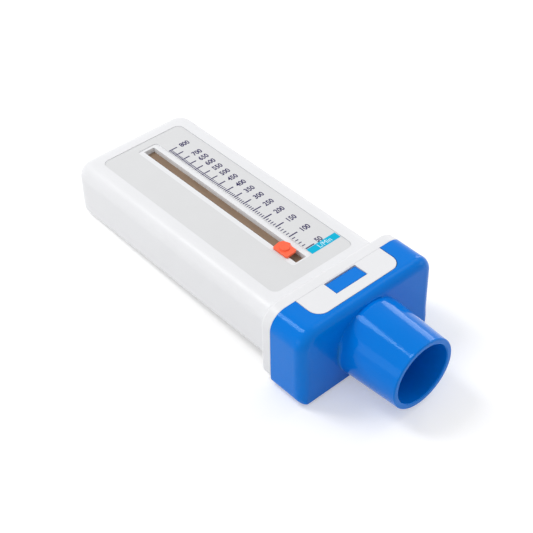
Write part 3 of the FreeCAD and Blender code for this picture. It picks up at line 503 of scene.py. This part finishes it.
def make_cap_front():
    outline = cap_outline()
    bm = bmesh.new()
    rings = []

    def ring(points):
        rings.append([bm.verts.new(at(*point)) for point in points])

    for y in (FRONT_BACK_EDGE, FRONT_BACK_EDGE - EDGE_STEP):
        ring([(x + nx * film(nz), y, z + nz * film(nz)) for x, z, nx, nz in outline])
    for i in range(ROUND_STEPS + 1):
        rim = rounded_ring(outline, math.pi / 2 * i / ROUND_STEPS)
        ring(rim)
    root = SPIGOT_RADIUS + FILM + ROOT_SWELL
    for share in (0.03, 0.35, 0.7, 0.97, 0.995):
        ring(toward_axis(rim, share, root + ROOT_CREASE, 0))
    for i in range(CREASE_STEPS + 1):
        angle = math.pi / 2 * i / CREASE_STEPS
        crease = ROOT_CREASE * (1 - math.sin(angle))
        ring(toward_axis(rim, 1, root + crease, ROOT_CREASE * (1 - math.cos(angle))))
    for share in (0.006, *(i / SWELL_STEPS for i in range(1, SWELL_STEPS)), 0.998, 1.0):
        radius = SPIGOT_RADIUS + FILM + ROOT_SWELL * (1 - share) - ROOT_DIVE * share
        ring(around_axis(rim, radius, -ROOT_CREASE - share * ROOT_SWELL_LENGTH))
    ring(around_axis(rim, HIDDEN_RADIUS, -ROOT_CREASE - ROOT_SWELL_LENGTH - RIM_DEPTH))
    ring(around_axis(rim, HIDDEN_RADIUS, HIDDEN_BACK))
    for by, y in HIDDEN_INSETS:
        ring([(x, y, z) for x, z in (inset(*spot, by) for spot in outline)])
    rings.append(rings[0])
    bridge(bm, rings)
    smooth(bm)
    piece_from(bm, "cap_front", blue_plastic, "housing")


# Stage
FLOOR_TILT = math.atan(0.0402)
FLOOR_PIVOT_Y = 20.4
FLOOR_SIZE = 3.0
FLOOR_CUTS = 8
FLOOR_DROP = 0.02
FLOOR_GREY = 0.78
FLOOR_GLOW = 0.34
WORLD_LEVEL = 0.6


def any_ray(tree, *kinds):
    """Socket that is 1 for any of the given kinds of ray."""
    rays = tree.nodes.new("ShaderNodeLightPath")
    out = rays.outputs[kinds[0]]
    for kind in kinds[1:]:
        either = tree.nodes.new("ShaderNodeMath")
        either.operation = "MAXIMUM"
        tree.links.new(out, either.inputs[0])
        tree.links.new(rays.outputs[kind], either.inputs[1])
        out = either.outputs[0]
    return out


def floor_material():
    """Pale surface that stays white for the camera and in reflections, and keeps the shadow."""
    material = bpy.data.materials.new("floor")
    material.use_nodes = True
    tree = material.node_tree
    shader = tree.nodes["Principled BSDF"]
    shader.inputs["Base Color"].default_value = (FLOOR_GREY, FLOOR_GREY, FLOOR_GREY, 1)
    shader.inputs["Roughness"].default_value = 0.9
    shader.inputs["Specular IOR Level"].default_value = 0.1
    glow = tree.nodes.new("ShaderNodeEmission")
    glow.inputs["Color"].default_value = (1, 1, 1, 1)
    scale = tree.nodes.new("ShaderNodeMath")
    scale.operation = "MULTIPLY"
    scale.inputs[1].default_value = FLOOR_GLOW
    tree.links.new(any_ray(tree, "Is Camera Ray", "Is Glossy Ray"), scale.inputs[0])
    tree.links.new(scale.outputs[0], glow.inputs["Strength"])
    both = tree.nodes.new("ShaderNodeAddShader")
    tree.links.new(shader.outputs[0], both.inputs[0])
    tree.links.new(glow.outputs[0], both.inputs[1])
    tree.links.new(both.outputs[0], tree.nodes["Material Output"].inputs["Surface"])
    return material


def make_floor():
    bm = bmesh.new()
    bmesh.ops.create_grid(bm, x_segments=FLOOR_CUTS, y_segments=FLOOR_CUTS, size=FLOOR_SIZE)
    mesh = bpy.data.meshes.new("floor")
    bm.to_mesh(mesh)
    bm.free()
    mesh.materials.append(floor_material())
    floor = bpy.data.objects.new("floor", mesh)
    bpy.context.scene.collection.objects.link(floor)
    pivot = Matrix.Translation(at(0, FLOOR_PIVOT_Y, -FLOOR_DROP))
    floor.matrix_world = pivot @ Matrix.Rotation(FLOOR_TILT, 4, "X")


def make_world():
    """White for what the camera, a reflection or glass sees, and a lower level of light elsewhere."""
    world = bpy.data.worlds.new("world")
    bpy.context.scene.world = world
    world.use_nodes = True
    tree = world.node_tree
    back = tree.nodes["Background"]
    back.inputs["Color"].default_value = (1, 1, 1, 1)
    level = tree.nodes.new("ShaderNodeMapRange")
    level.inputs["To Min"].default_value = WORLD_LEVEL
    level.inputs["To Max"].default_value = 1.0
    seen = any_ray(tree, "Is Camera Ray", "Is Transmission Ray", "Is Glossy Ray")
    tree.links.new(seen, level.inputs["Value"])
    tree.links.new(level.outputs["Result"], back.inputs["Strength"])


# Name, place in metres, width, height and watts
LAMPS = (
    ("key", (-0.33, 0.56, 1.0), 0.3, 0.5, 5.0),
    ("back", (1.0, 0.33, 0.44), 0.25, 0.4, 1.4),
    ("left", (-1.15, 0.1, 0.3), 0.8, 0.5, 2.1),
    ("right", (0.9, -0.1, 1.1), 0.6, 0.6, 1.9),
    ("front", (0.9, -0.7, 0.4), 0.5, 0.4, 1.0),
)


def make_lamp(name, place, width, height, watts):
    """Rectangular lamp that faces the middle of the part."""
    data = bpy.data.lights.new(name, "AREA")
    data.shape = "RECTANGLE"
    data.size = width
    data.size_y = height
    data.energy = watts
    lamp = bpy.data.objects.new(name, data)
    bpy.context.scene.collection.objects.link(lamp)
    lamp.location = place
    lamp.rotation_euler = (-Vector(place)).to_track_quat("-Z", "Y").to_euler()


make_camera()
dress_nodes()
make_scale()
make_spring()
make_cap_front()
make_floor()
make_world()
for lamp in LAMPS:
    make_lamp(*lamp)
bpy.context.scene.view_settings.view_transform = "Standard"
